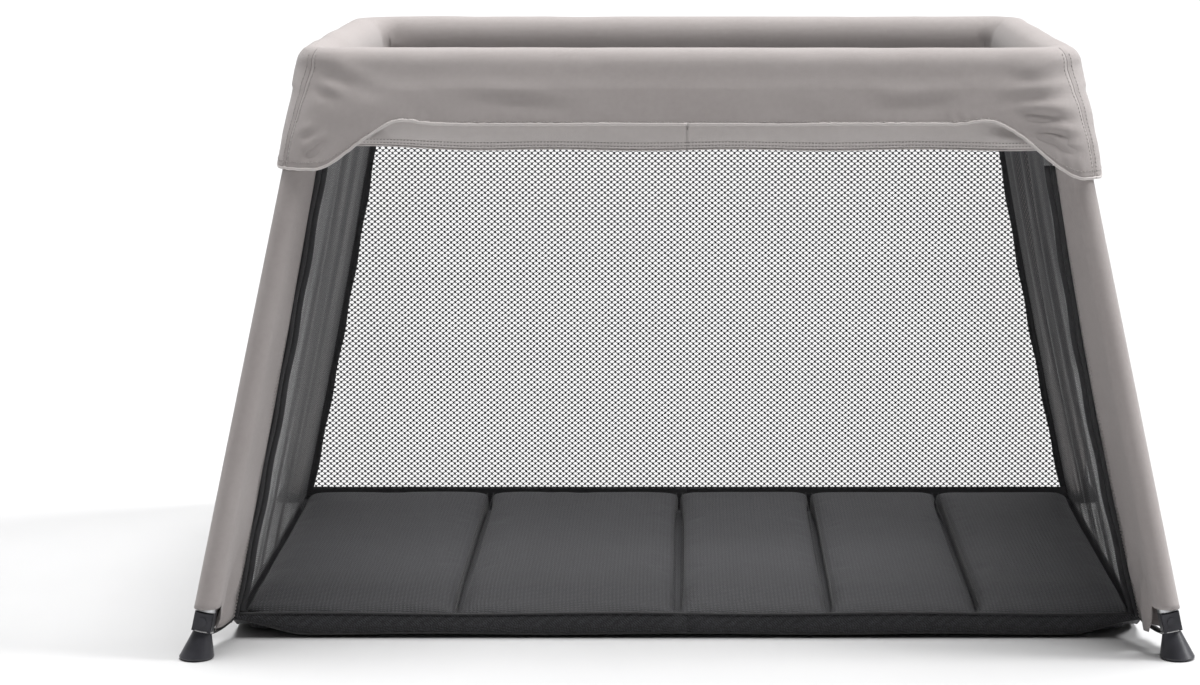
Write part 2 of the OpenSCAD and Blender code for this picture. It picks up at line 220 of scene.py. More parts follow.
class Shade:
    """A node material under construction, with short calls for the nodes that it uses."""

    def __init__(self, name):
        self.material = bpy.data.materials.new(name)
        self.material.use_nodes = True
        self.tree = self.material.node_tree
        self.shader = self.tree.nodes["Principled BSDF"]
        self.place = self.node("ShaderNodeTexCoord").outputs["Object"]

    def node(self, kind, **settings):
        node = self.tree.nodes.new(kind)
        for key, value in settings.items():
            setattr(node, key, value)
        return node

    def feed(self, socket, value):
        if isinstance(value, bpy.types.NodeSocket):
            self.tree.links.new(value, socket)
        else:
            socket.default_value = value

    def math(self, operation, a, b=0.0, c=0.0):
        node = self.node("ShaderNodeMath", operation=operation)
        for socket, value in zip(node.inputs, (a, b, c)):
            self.feed(socket, value)
        return node.outputs[0]

    def add(self, a, b):
        return self.math("ADD", a, b)

    def mul(self, a, b):
        return self.math("MULTIPLY", a, b)

    def scale(self, a, by, plus):
        return self.math("MULTIPLY_ADD", a, by, plus)

    def axes(self):
        node = self.node("ShaderNodeSeparateXYZ")
        self.feed(node.inputs[0], self.place)
        return node.outputs

    def noise(self, scale, detail=2.0, stretch=(1, 1, 1)):
        mapping = self.node("ShaderNodeMapping")
        self.feed(mapping.inputs["Vector"], self.place)
        mapping.inputs["Scale"].default_value = stretch
        node = self.node("ShaderNodeTexNoise")
        self.feed(node.inputs["Vector"], mapping.outputs[0])
        node.inputs["Scale"].default_value = scale
        node.inputs["Detail"].default_value = detail
        return node.outputs["Fac"]

    def ramp(self, value, stops):
        node = self.node("ShaderNodeValToRGB")
        self.feed(node.inputs[0], value)
        elements = node.color_ramp.elements
        while len(elements) < len(stops):
            elements.new(0.5)
        for element, (position, colour) in zip(elements, stops):
            element.position = position
            element.color = (*colour, 1)
        return node.outputs["Color"]

    def bump(self, height, distance, strength=1.0):
        node = self.node("ShaderNodeBump")
        node.inputs["Strength"].default_value = strength
        node.inputs["Distance"].default_value = distance
        self.feed(node.inputs["Height"], height)
        self.feed(self.shader.inputs["Normal"], node.outputs[0])

    def set(self, **values):
        for key, value in values.items():
            self.feed(self.shader.inputs[key.replace("_", " ")], value)

    def wave(self, coordinate, pitch):
        """A rounded ridge every pitch metres, from 0 to 1."""
        turned = self.math("MULTIPLY", coordinate, 2 * pi / pitch)
        return self.math("MULTIPLY_ADD", self.math("SINE", turned), 0.5, 0.5)


def fabric(name, light, dark, thread, sheen=0.25, roughness=0.86):
    """Plain woven cloth: two crossed sets of fine threads, slubs, and soft changes of tone."""
    s = Shade(name)
    x, y, z = s.axes()
    slubs = s.noise(420, 3)
    warp = s.wave(s.add(x, y), thread)
    weft = s.wave(s.add(z, s.mul(y, 0.35)), thread)
    weave = s.mul(warp, weft)
    height = s.scale(slubs, 0.5, weave)
    tone = s.scale(s.noise(9, 4), 0.65, s.mul(s.noise(160, 4), 0.35))
    middle = tuple(mix(a, b, 0.5) for a, b in zip(dark, light))
    s.set(Base_Color=s.ramp(tone, [(0.3, dark), (0.5, middle), (0.72, light)]))
    s.set(Roughness=s.scale(slubs, 0.12, roughness - 0.06))
    s.set(Sheen_Weight=sheen, Sheen_Roughness=0.5)
    s.bump(height, 0.0004, 0.55)
    return s.material


def net_fabric(name, across, pitch_across, pitch_up, hole_across, hole_up):
    """Knitted net: rows of oval holes, each row set half a step from the next."""
    s = Shade(name)
    axes = dict(zip("xyz", s.axes()))
    u = s.math("DIVIDE", axes[across], pitch_across)
    v = s.math("DIVIDE", axes["z"], pitch_up)
    holes = None
    for shift in (0.0, 0.5):
        du = s.math("SUBTRACT", s.math("FRACT", s.add(u, shift + 40)), 0.5)
        dv = s.math("SUBTRACT", s.math("FRACT", s.add(v, shift)), 0.5)
        du = s.mul(du, pitch_across / hole_across)
        dv = s.mul(dv, pitch_up / hole_up)
        far = s.math("SQRT", s.add(s.mul(du, du), s.mul(dv, dv)))
        holes = far if holes is None else s.math("MINIMUM", holes, far)
    solid = s.node("ShaderNodeMapRange", interpolation_type="SMOOTHSTEP")
    s.feed(solid.inputs["Value"], holes)
    solid.inputs["From Min"].default_value = 0.46
    solid.inputs["From Max"].default_value = 0.54
    s.set(Alpha=solid.outputs[0])
    fibre = s.noise(1500, 2)
    s.set(Base_Color=s.ramp(fibre, [(0.3, (0.012, 0.012, 0.014)), (0.7, (0.035, 0.035, 0.039))]))
    s.set(Roughness=0.62, Sheen_Weight=0.2)
    s.bump(s.add(holes, s.mul(fibre, 0.2)), 0.0006, 0.7)
    return s.material


def fine_net(name, pitch_across, pitch_up, thread):
    """Very open net: thin threads that cross in small diamonds; thread is their share of the pitch."""
    s = Shade(name)
    x, y, z = s.axes()
    u, v = s.math("DIVIDE", x, pitch_across), s.math("DIVIDE", z, pitch_up)
    lines = []
    for way in ("ADD", "SUBTRACT"):
        turned = s.math("FRACT", s.add(s.math(way, u, v), 400.0))
        lines.append(s.math("ABSOLUTE", s.math("SUBTRACT", turned, 0.5)))
    near = s.math("MINIMUM", *lines)
    s.set(Alpha=s.math("LESS_THAN", near, thread / 2))
    s.set(Base_Color=s.ramp(s.noise(1500, 2), [(0.3, (0.02, 0.02, 0.023)), (0.7, (0.07, 0.07, 0.078))]))
    s.set(Roughness=0.62, Sheen_Weight=0.2)
    s.bump(near, 0.0004, 0.6)
    return s.material


def mesh_cloth(name, dark, light, pitch, diagonal, roughness=0.7):
    """Dark closed mesh: a fine lattice of knots, with diagonal ribs and a few bright fibres."""
    s = Shade(name)
    x, y, z = s.axes()
    along = s.add(x, s.mul(z, diagonal))
    up = s.add(y, z)
    knots = s.mul(s.wave(along, pitch), s.wave(s.add(up, s.mul(x, diagonal)), pitch))
    speck = s.math("POWER", s.noise(900, 1), 5.0)
    tone = s.scale(s.noise(6, 3), 0.25, s.mul(knots, 0.75))
    tone = s.add(tone, s.mul(speck, 4.5))
    s.set(Base_Color=s.ramp(tone, [(0.2, dark), (0.95, light)]), Roughness=roughness, Sheen_Weight=0.15)
    s.bump(s.scale(speck, 0.4, knots), 0.0006, 0.8)
    return s.material


def ribbed(name, dark, light, pitch, roughness=0.6):
    """Narrow woven tape, cord or webbing with ribs across it."""
    s = Shade(name)
    x, y, z = s.axes()
    rib = s.wave(s.add(s.add(x, y), z), pitch)
    fibre = s.noise(700, 3)
    tone = s.scale(rib, 0.6, s.mul(fibre, 0.4))
    s.set(Base_Color=s.ramp(tone, [(0.15, dark), (0.85, light)]), Roughness=roughness, Sheen_Weight=0.15)
    s.bump(s.scale(fibre, 0.3, rib), 0.0004, 0.8)
    return s.material


def plastic(name, dark, light, roughness):
    """Moulded plastic with a fine grain and slightly polished wear."""
    s = Shade(name)
    grain = s.noise(1600, 2)
    wear = s.noise(35, 5)
    s.set(Base_Color=s.ramp(wear, [(0.3, dark), (0.75, light)]))
    s.set(Roughness=s.scale(wear, 0.2, roughness - 0.1))
    s.bump(grain, 0.00015, 0.5)
    return s.material


def metal(name, colour, roughness, stretch):
    """Drawn metal with fine lines along the tube."""
    s = Shade(name)
    lines = s.noise(260, 4, stretch)
    low = tuple(0.8 * c for c in colour)
    s.set(Base_Color=s.ramp(lines, [(0.3, low), (0.7, colour)]), Metallic=1.0)
    s.set(Roughness=s.scale(lines, 0.2, roughness - 0.1))
    s.bump(lines, 0.0001, 0.4)
    return s.material


GREIGE = fabric("greige_cloth", (0.430, 0.393, 0.384), (0.378, 0.341, 0.332), 0.0009)
GREIGE_SEAM = ribbed("greige_thread", (0.20, 0.18, 0.17), (0.58, 0.54, 0.53), 0.0012)
# Painted shade: a dark cord laid in each corner seam, standing in for the shade in the seam's groove.
SEAM_SHADOW_CORD = ribbed("seam_shadow_thread", (0.12, 0.105, 0.10), (0.26, 0.23, 0.22), 0.0011)
NEAR_NET = fine_net("fine_net_black", 0.0026, 0.0024, 0.075)
FAR_NET = net_fabric("open_net_black", "x", 0.0082, 0.0069, 0.0056, 0.0037)
END_NET = net_fabric("end_net_black", "y", 0.0082, 0.0069, 0.0050, 0.0034)
# Pale lining cloth, painted lighter than its own colour: the extra lightness is painted light that stands in
# for light shining through the thin bands.
LINING_WITH_PAINTED_BACKLIGHT = fabric("pale_lining_with_painted_backlight", (0.64, 0.60, 0.586), (0.57, 0.532, 0.518), 0.0008)
PIPING = ribbed("black_piping", (0.010, 0.010, 0.011), (0.035, 0.035, 0.038), 0.0013)
TRAY_CLOTH = mesh_cloth("tray_cloth", (0.006, 0.006, 0.007), (0.060, 0.060, 0.068), 0.0031, 0.8)
BASE_CLOTH = mesh_cloth("black_base_cloth", (0.008, 0.008, 0.009), (0.048, 0.048, 0.054), 0.0030, 0.2)
MATTRESS_CLOTH = mesh_cloth("mattress_cloth", (0.002, 0.002, 0.003), (0.036, 0.036, 0.043), 0.0044, 0.15)
BLACK_PLASTIC = plastic("black_plastic", (0.030, 0.030, 0.035), (0.062, 0.062, 0.072), 0.34)
BUTTON_PLASTIC = plastic("grey_plastic", (0.17, 0.18, 0.19), (0.26, 0.27, 0.28), 0.42)
STEEL = metal("steel_pins", (0.56, 0.57, 0.58), 0.32, (1, 1, 1))
TUBE_METAL = metal("aluminium_tube", (0.72, 0.73, 0.74), 0.35, (1, 1, 0.06))
WEBBING = ribbed("black_webbing", (0.005, 0.005, 0.006), (0.018, 0.018, 0.020), 0.0016)
PALE_RING = plastic("pale_ring", (0.42, 0.42, 0.42), (0.60, 0.60, 0.60), 0.4)


def paint_cad_nodes():
    """The hard parts keep their CAD shape, and only get their finish here."""
    finishes = [("hinge_housing", BLACK_PLASTIC), ("hinge_pins", STEEL), ("release_button", BUTTON_PLASTIC),
                ("button_spring", STEEL), ("rail_tube", TUBE_METAL), ("hinge_tongues", STEEL),
                ("leg_pins", STEEL), ("corner_bracket", BLACK_PLASTIC), ("leg_head", BLACK_PLASTIC),
                ("leg_tube", TUBE_METAL), ("foot_plate", BLACK_PLASTIC), ("foot", BLACK_PLASTIC)]
    for name in frame["nodes"]:
        for ending, material in finishes:
            if name.endswith(ending):
                obj = bpy.data.objects[name]
                obj.data.materials.clear()
                obj.data.materials.append(material)
                break


# ---------------------------------------------------------------- padded rail cover

def keyed(rows, count):
    """A smooth run of rows through keyed rows (outward offset, height, corner radius)."""
    rows = np.array(rows, float)
    steps = np.concatenate([[0], np.cumsum(np.linalg.norm(np.diff(rows[:, :2], axis=0), axis=1))])
    at = np.linspace(0, steps[-1], count)
    out = np.empty((count, 3))
    slopes = np.gradient(rows, steps, axis=0)
    for i, value in enumerate(at):
        k = min(int(np.searchsorted(steps, value, side="right")) - 1, len(steps) - 2)
        span = steps[k + 1] - steps[k]
        t = (value - steps[k]) / span
        h00, h10 = 2 * t ** 3 - 3 * t ** 2 + 1, t ** 3 - 2 * t ** 2 + t
        h01, h11 = -2 * t ** 3 + 3 * t ** 2, t ** 3 - t ** 2
        out[i] = h00 * rows[k] + h10 * span * slopes[k] + h01 * rows[k + 1] + h11 * span * slopes[k + 1]
    return out


# From the underside, up the inner face, over the round top and down the outer shoulder.
# Each row: outward from the rail's centreline, up from the padding's underside, corner radius.
PAD_TALL = TOP_Z - PAD_LOW
INNER_FACE, TOP_MIDDLE = -0.0285, -0.0025
PAD_ROWS = [(0.021, 0.001, 0.058), (0.000, 0.000, 0.042), (-0.020, 0.0005, 0.024), (-0.0265, 0.005, 0.017),
            (INNER_FACE, 0.020, 0.015)]
INNER_WIDE, INNER_TALL = 0.026, 0.036
for tilt in (4, 20, 36, 52, 68, 80):
    turn = radians(tilt)
    PAD_ROWS.append((INNER_FACE + INNER_WIDE * (1 - cos(turn)), PAD_TALL - INNER_TALL * (1 - sin(turn)),
                     mix(0.015, 0.034, (tilt - 4) / 76)))
OUTER_WIDE, OUTER_TALL = 0.020, 0.027
for tilt in (90, 72, 55, 40, 27, 14):
    turn = radians(tilt)
    PAD_ROWS.append((TOP_MIDDLE + OUTER_WIDE * cos(turn), PAD_TALL - OUTER_TALL * (1 - sin(turn)),
                     mix(0.060, 0.036, (tilt - 14) / 76)))
PAD_ROWS += [(0.0192, PAD_TALL - 0.030, 0.0590), (0.0232, PAD_TALL - 0.043, 0.057)]
PAD_COUNT = 48
SKIRT_COUNT = 26
SKIRT_T = 0.0022


def hem_height(corner, path_x, path_y):
    """Height of the hem: level along the rails, with a low rounded flap at each corner."""
    sx, sy = CORNERS[corner]
    low = FLAP_Z + (0 if sx > 0 else 0.011)
    start_x, end_x = (0.345, 0.432) if sx > 0 else (0.333, 0.413)
    start_y, end_y = 0.200, 0.284
    down = smooth((path_x - start_x) / (end_x - start_x)) * smooth((path_y - start_y) / (end_y - start_y))
    lift = 0.004 * exp(-((path_x - start_x + 0.006) / 0.022) ** 2) * (path_y > RAIL_Y)
    round_up = 0.012 * smooth((path_x - 0.440) / 0.020) * smooth((0.300 - path_y) / 0.03)
    return mix(HEM_Z, low, down) + lift + round_up


def skirt_out(z):
    """How far out the cover's face stands below the padding's shoulder."""
    fall = TOP_Z - 0.043 - z
    return 0.0232 + 0.222 * fall * (1 - 0.25 * fall / 0.1)


def skirt_radius(z):
    return float(np.interp(z, [0.520, 0.560, 0.600, 0.617], [0.034, 0.038, 0.050, 0.057]))


def path_columns():
    """Places along the cover: (part, share), from the near middle round to the far middle."""
    straight = list(np.linspace(0, 0.70, 66, endpoint=False)) + list(np.linspace(0.70, 1, 46, endpoint=False))
    corner = list(np.linspace(0, 1, 30, endpoint=False))
    end = list(np.linspace(-1, 1, 110, endpoint=False))
    columns = [("near", f) for f in straight] + [("near_corner", f) for f in corner]
    columns += [("end", f) for f in end] + [("far_corner", f) for f in corner]
    return columns + [("far", 1 - f) for f in [0.0] + [1 - g for g in reversed(straight)]]


def path_point(column, half_x, half_y, radius):
    """A point of a rounded rectangle in plan, for the right half."""
    part, share = column
    straight_x, straight_y = half_x - radius, half_y - radius
    if part in ("near", "far"):
        return share * straight_x, (-1 if part == "near" else 1) * half_y
    if part == "end":
        return half_x, share * straight_y
    angle = radians(90 * share)
    if part == "near_corner":
        return straight_x + radius * sin(angle), -straight_y - radius * cos(angle)
    return straight_x + radius * cos(angle), straight_y + radius * sin(angle)


def end_bulge(column):
    """The padding stands fuller and squarer along the ends than along the sides."""
    part, share = column
    if part == "end":
        return 1.0
    if part.endswith("corner"):
        return float(smooth((share if part == "near_corner" else 1 - share) * 1.4 - 0.4))
    return 0.0


def cover_rows(side, column):
    """The closed section of the cover at one place, as points in the frame."""
    sx = SIDES[side]
    wide = 0.0025 * sx
    x_hem, y_hem = path_point(column, RAIL_X + 0.040, RAIL_Y + 0.040, 0.034)
    bulge = end_bulge(column)
    corner = ("near_" if y_hem < 0 else "far_") + side
    hem = hem_height(corner, abs(x_hem), abs(y_hem))
    points = []
    for u, up, radius in PAD_CURVE:
        shoulder = smooth((u + 0.022) / 0.026) * smooth((up - PAD_TALL + 0.062) / 0.04)
        spread = wide * smooth((u + 0.01) / 0.03) + 0.004 * bulge * shoulder
        x, y = path_point(column, RAIL_X + u + spread, RAIL_Y + u, radius)
        points.append((sx * x, y, PAD_LOW + up))
    top_of_skirt = PAD_LOW + PAD_CURVE[-1][1]
    for k in range(1, SKIRT_COUNT):
        z = mix(top_of_skirt, hem, k / (SKIRT_COUNT - 1))
        u = skirt_out(z)
        x, y = path_point(column, RAIL_X + u + wide, RAIL_Y + u, skirt_radius(z))
        points.append((sx * x, y, z))
    back_top = PAD_LOW + 0.002
    for k in range(9):
        z = mix(hem + 0.0004, back_top, k / 8)
        u = skirt_out(z) - SKIRT_T - 0.003 * smooth((z - back_top + 0.02) / 0.02)
        x, y = path_point(column, RAIL_X + u + wide, RAIL_Y + u, skirt_radius(z) - SKIRT_T)
        points.append((sx * x, y, z))
    return points


PAD_CURVE = keyed(PAD_ROWS, PAD_COUNT)
COLUMNS = path_columns()
HEM_ROW = PAD_COUNT + SKIRT_COUNT - 2


def grid_normals(points):
    """Outward normals of a cover grid of columns by section rows."""
    along = np.gradient(points, axis=0)
    around = np.roll(points, -1, axis=1) - np.roll(points, 1, axis=1)
    normals = np.cross(around, along)
    normals /= np.maximum(np.linalg.norm(normals, axis=2, keepdims=True), 1e-9)
    return normals


# Creases: (side, end, from x, from z, to x, to z, depth, width), on the cover's outer face.
CREASES = [
    ("left", "near", 0.418, 0.548, 0.388, 0.562, 0.0016, 0.005),
    ("left", "near", 0.42, 0.544, 0.396, 0.549, 0.0014, 0.004),
    ("left", "near", 0.423, 0.562, 0.398, 0.572, 0.0012, 0.005),
    ("left", "near", 0.412, 0.635, 0.33, 0.612, 0.001, 0.008),
    ("left", "near", 0.414, 0.618, 0.372, 0.602, 0.0012, 0.006),
    ("right", "near", 0.425, 0.583, 0.35, 0.59, 0.0022, 0.0065),
    ("right", "near", 0.43, 0.562, 0.372, 0.568, 0.0024, 0.006),
    ("right", "near", 0.432, 0.548, 0.395, 0.556, 0.0014, 0.005),
    ("right", "near", 0.423, 0.612, 0.33, 0.601, 0.0018, 0.008),
    ("right", "near", 0.419, 0.63, 0.345, 0.624, 0.0013, 0.007),
    ("right", "near", 0.29, 0.602, 0.19, 0.596, 0.001, 0.008),
    ("left", "near", 0.24, 0.604, 0.12, 0.598, 0.001, 0.008),
    ("left", "far", 0.42, 0.56, 0.38, 0.57, 0.0016, 0.006),
    ("right", "far", 0.424, 0.575, 0.37, 0.58, 0.0018, 0.006),
    ("right", "far", 0.42, 0.61, 0.35, 0.6, 0.0014, 0.008),
    ("left", "far", 0.416, 0.62, 0.34, 0.608, 0.0012, 0.007),
]


def wrinkle_cover(side, points, normals):
    """Creases at the flaps, soft waves in the padding, and puckers above the hem."""
    sx = SIDES[side]
    cols, rows = points.shape[:2]
    outer = np.zeros(rows)
    outer[PAD_COUNT - 12:HEM_ROW + 1] = 1
    outer[PAD_COUNT - 20:PAD_COUNT - 12] = np.linspace(0, 1, 8)
    push = np.zeros((cols, rows))
    x, y, z = abs(points[..., 0]), points[..., 1], points[..., 2]
    for crease_side, end, x0, z0, x1, z1, depth, width in CREASES:
        if crease_side != side:
            continue
        on_face = (ENDS[end] * y > 0.25).astype(float)
        dx, dz = x1 - x0, z1 - z0
        length = hypot(dx, dz)
        along = ((x - x0) * dx + (z - z0) * dz) / length ** 2
        off = ((x - x0) * dz - (z - z0) * dx) / length
        fade = smooth(1 - abs(along - 0.45) / 0.62)
        shape = -np.exp(-(off / width) ** 2) + 0.7 * np.exp(-((off - 1.6 * width) / (1.2 * width)) ** 2)
        push += 1.7 * depth * fade * shape * on_face
    middle_fade = smooth((x - 0.045) / 0.08)
    for i in range(cols):
        for j in range(PAD_COUNT - 20, HEM_ROW + 1):
            p = Vector(points[i, j])
            soft = wobble(p.x * 11, p.y * 11, p.z * 26 + sx * 3)
            fine = wobble(p.x * 38, p.y * 38, p.z * 60 + sx * 7)
            push[i, j] += (0.0013 * soft + 0.0004 * fine) * middle_fade[i, j] * outer[j]
    lengths = np.concatenate([[0], np.cumsum(np.linalg.norm(np.diff(points[:, HEM_ROW], axis=0), axis=1))])
    ripple = np.sin(lengths * 2 * pi / 0.0135 + 2.2 * np.sin(lengths * 37))
    ripple *= 0.6 + 0.4 * np.sin(lengths * 90)
    for j in range(PAD_COUNT, HEM_ROW + 1):
        near_hem = (j - PAD_COUNT) / (HEM_ROW - PAD_COUNT)
        push[:, j] += 0.0004 * ripple * smooth((near_hem - 0.55) / 0.4) * middle_fade[:, j]
    return points + normals * push[..., None]


SEAM_SHARE = 0.52                                 # of the corner's turn, from the near or far face


def seam_columns():
    """The columns nearest the stitched seam at each corner."""
    near = [i for i, (part, share) in enumerate(COLUMNS) if part == "near_corner"]
    far = [i for i, (part, share) in enumerate(COLUMNS) if part == "far_corner"]
    return {"near": near[int(SEAM_SHARE * len(near))], "far": far[int((1 - SEAM_SHARE) * len(far))]}


def make_cover(side):
    points = np.array([cover_rows(side, column) for column in COLUMNS])
    normals = grid_normals(points) * SIDES[side]
    points = wrinkle_cover(side, points, normals)
    for column in seam_columns().values():
        rows = slice(PAD_COUNT - 16, HEM_ROW + 1)
        fade = smooth(np.arange(HEM_ROW + 17 - PAD_COUNT) / 6)[:, None]
        for offset, depth in ((0, 0.0013), (-1, 0.0004), (1, 0.0004)):
            points[column + offset, rows] -= normals[column + offset, rows] * depth * fade
    cols, rows = points.shape[:2]
    order = (lambda f: f) if SIDES[side] > 0 else (lambda f: f[::-1])
    opening = [j for j in range(rows) if abs(points[0, j, 2] - PAD_LOW) < 0.0012
               and abs(abs(points[0, j, 1]) - RAIL_Y) < 0.0115]
    at_middle = [i for i in range(cols) if abs(points[i, 0, 0]) < 0.0105]

    def is_open(i, j):
        return i in at_middle and j in opening and (j + 1) % rows in opening

    faces = [order(face) for face in grid_faces(cols, rows, wrap_cols=True, skip=is_open)]
    cover = new_object(f"{side}_cover", points.reshape(-1, 3), faces, GREIGE)
    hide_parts(f"{side}_rail_cover", "near_middle_cover", "far_middle_cover")
    finish_cover_piece(cover)
    make_hem(side, points, normals)
    make_seams(side, points, normals)


def finish_cover_piece(piece):
    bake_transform(piece)


def make_hem(side, points, normals):
    """Rolled edge of the cover, with its row of stitches just above."""
    out = normals[:, HEM_ROW]
    edge = points[:, HEM_ROW] - out * (SKIRT_T / 2) + np.array([0, 0, -0.0004])
    finish_cover_piece(tube(f"{side}_cover_hem", edge, 0.0018, LINING_WITH_PAINTED_BACKLIGHT, sides=8))
    above = HEM_ROW - 2
    row = points[:, above] + normals[:, above] * 0.00015
    finish_cover_piece(stitches(f"{side}_hem_stitches", row[1:-1], normals[1:-1, above], GREIGE_SEAM))


def make_seams(side, points, normals):
    """Stitched seam that runs down each corner of the cover, from the top of the padding to the hem."""
    for end, column in seam_columns().items():
        top = PAD_COUNT - 14
        line = points[column, top:HEM_ROW + 1] - normals[column, top:HEM_ROW + 1] * 0.0002
        # The dark cord paints the shade that falls in the seam's groove.
        finish_cover_piece(tube(f"{side}_{end}_cover_seam_shadow", line, 0.0006, SEAM_SHADOW_CORD, sides=6))
        for offset in (-2, 2):
            out = normals[column + offset, top + 3:HEM_ROW]
            line = points[column + offset, top + 3:HEM_ROW] + out * 0.0001
            row = stitches(f"{side}_{end}_cover_stitches_{offset + 2}", line, out, GREIGE_SEAM)
            finish_cover_piece(row)


def make_button_frame(end):
    """Moulded rim round the opening in the padding's underside, under the release button."""
    centre = Vector((0, ENDS[end] * RAIL_Y, PAD_LOW - 0.0004))
    profile = [(0.0100, 0.0022), (0.0098, 0.0003), (0.0106, -0.0012), (0.0128, -0.0016), (0.0150, -0.0010),
               (0.0158, 0.0006), (0.0156, 0.0020)]
    points = []
    for k in range(48):
        angle = 2 * pi * k / 48
        square = (abs(cos(angle)) ** 5 + abs(sin(angle)) ** 5) ** -0.2
        points.append([(centre.x + r * square * cos(angle), centre.y + r * square * sin(angle),
                        centre.z + h) for r, h in profile])
    rim = sheet_grid(f"{end}_button_rim", np.array(points), BLACK_PLASTIC, wrap_rows=True)
    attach(rim, "hinges")


# ---------------------------------------------------------------- nets, valances and tray

def fold_away(piece, side):
    """Cloth that hangs from a half of the rail moves with that half as it folds."""
    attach(piece, f"{side}_half")
    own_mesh(piece)


NET_TOP = valance_low.z + 0.0005
NET_LAYERS = 3                                    # a knitted net is thick beside its threads


def make_side_net(end, side):
    """One half of a long net, from the tray's rim up to the beige band."""
    corner = f"{end}_{side}"
    rows, cols = 46, 44
    points = np.empty((rows, cols, 3))
    for i, z in enumerate(np.linspace(TRAY_H - 0.003, NET_TOP + 0.004, rows)):
        edge = corner_line(corner, z)
        slack = sin(pi * (z - TRAY_H) / (NET_TOP - TRAY_H))
        for j, t in enumerate(np.linspace(0, 1, cols)):
            x = edge.x * t
            sag = 0.0035 * slack * sin(pi * (0.5 + 0.5 * t)) * wobble(x * 3.1, 5.2, z * 3.7)
            gather = 0.0012 * smooth((z - NET_TOP + 0.03) / 0.03) * sin(x * 210) * (t < 0.98)
            points[i, j] = (x, edge.y - ENDS[end] * (0.0006 + sag - gather), z)
    net = sheet_grid(f"{corner}_side_net", points, NEAR_NET if end == "near" else FAR_NET)
    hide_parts(f"{end}_net")
    fold_away(net, side)
    if end == "far":
        make_net_tape(corner, side)


def make_net_tape(corner, side):
    """Flat tape sewn along the lower edge of half of the far net."""
    strip = np.empty((4, 30, 3))
    for i, z in enumerate(np.linspace(TRAY_H - 0.003, TRAY_H + 0.0090, 4)):
        edge = corner_line(corner, z)
        for j, t in enumerate(np.linspace(0, 0.995, 30)):
            strip[i, j] = (edge.x * t, edge.y - 0.0016 - 0.0004 * sin(edge.x * t * 40), z)
    tape = sheet_grid(f"{corner}_net_tape", strip, PIPING)
    thicken(tape, TAPE_T)
    fold_away(tape, side)


def make_end_net(side):
    """The net at one end, which hangs in soft upright folds."""
    rows, cols = 46, 72
    deep = 0.0055 if side == "right" else 0.0028
    points = np.empty((rows, cols, 3))
    for i, z in enumerate(np.linspace(TRAY_H - 0.003, NET_TOP + 0.004, rows)):
        near, far = corner_line(f"near_{side}", z), corner_line(f"far_{side}", z)
        hang = 0.35 + 0.65 * smooth((z - 0.1) / 0.4)
        for j, t in enumerate(np.linspace(0, 1, cols)):
            p = near.lerp(far, t)
            fade = sin(pi * t) ** 0.5
            fold = sin(p.y * 46 + 1.1 * sin(p.y * 13) + z * 3) + 0.4 * sin(p.y * 92 - z * 5)
            points[i, j] = (p.x - SIDES[side] * (0.001 + deep * 0.7 * fade * hang * (1 + fold)), p.y, z)
    layers = [points + np.array([SIDES[side] * 0.0006 * k, 0, 0]) for k in range(NET_LAYERS)]
    faces = [tuple(k * rows * cols + v for v in face)
             for k in range(NET_LAYERS) for face in grid_faces(rows, cols)]
    net = new_object(f"{side}_net_panel", np.concatenate(layers).reshape(-1, 3), faces, END_NET)
    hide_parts(f"{side}_end_net")
    fold_away(net, side)


def band_edge(x, end):
    """The lower edge of the beige band dips a little towards the middle."""
    return NET_TOP - 0.004 + 0.004 * smooth((-x - 0.2) / 0.16) + 0.0008 * sin(x * 31)


def make_valance(end, side):
    """Half of the beige band above a long net, gathered at its outer end."""
    corner = f"{end}_{side}"
    rows, cols = 14, 70
    high = BOX_TOP_Z - 0.0005
    points = np.empty((rows, cols, 3))
    reach = valance_high.x + 0.016
    for j, t in enumerate(np.linspace(-0.003, 1, cols)):
        x = SIDES[side] * reach * t
        low = band_edge(x, end) if end == "near" else NET_TOP
        for i, s in enumerate(np.linspace(0, 1, rows)):
            z = mix(low, high, s)
            y = abs(corner_line(corner, z).y)
            belly = 0.0022 * sin(pi * s) * (1 + 0.4 * sin(x * 17))
            pucker = 0.0045 * smooth((t - 0.82) / 0.10) * sin(pi * s) * sin(s * 10 + x * 35)
            points[i, j] = (x, ENDS[end] * (y + 0.0016 + belly + pucker), z)
    # The lining colour carries painted light, standing in for light that shines through the thin band.
    band = sheet_grid(f"{corner}_valance", points, LINING_WITH_PAINTED_BACKLIGHT)
    thicken(band, BAND_T)
    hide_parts(f"{end}_valance")
    fold_away(band, side)
    for k, row in enumerate((1, 2)):
        out = [Vector((0, ENDS[end], 0))] * cols
        line = points[row] + np.array([0, ENDS[end] * 0.0006, 0.0])
        sewn = stitches(f"{corner}_valance_stitches_{k}", line, out, GREIGE_SEAM, length=0.0022, pitch=0.0036)
        fold_away(sewn, side)
    line = points[0] + np.array([0, ENDS[end] * 0.0006, 0])
    fold_away(tube(f"{corner}_valance_edge", line, 0.0011, LINING_WITH_PAINTED_BACKLIGHT, sides=6), side)


def thicken(obj, thickness):
    """Gives a sheet its thickness, and applies it to the mesh."""
    modifier = obj.modifiers.new("thickness", "SOLIDIFY")
    modifier.thickness = thickness
    modifier.offset = 0
    skins = 2 * len(obj.data.polygons)
    apply_modifiers(obj)
    for polygon in obj.data.polygons[skins:]:
        polygon.use_smooth = False


def apply_modifiers(obj):
    bpy.context.view_layer.update()
    evaluated = obj.evaluated_get(bpy.context.evaluated_depsgraph_get())
    mesh = bpy.data.meshes.new_from_object(evaluated)
    obj.modifiers.clear()
    obj.data = mesh


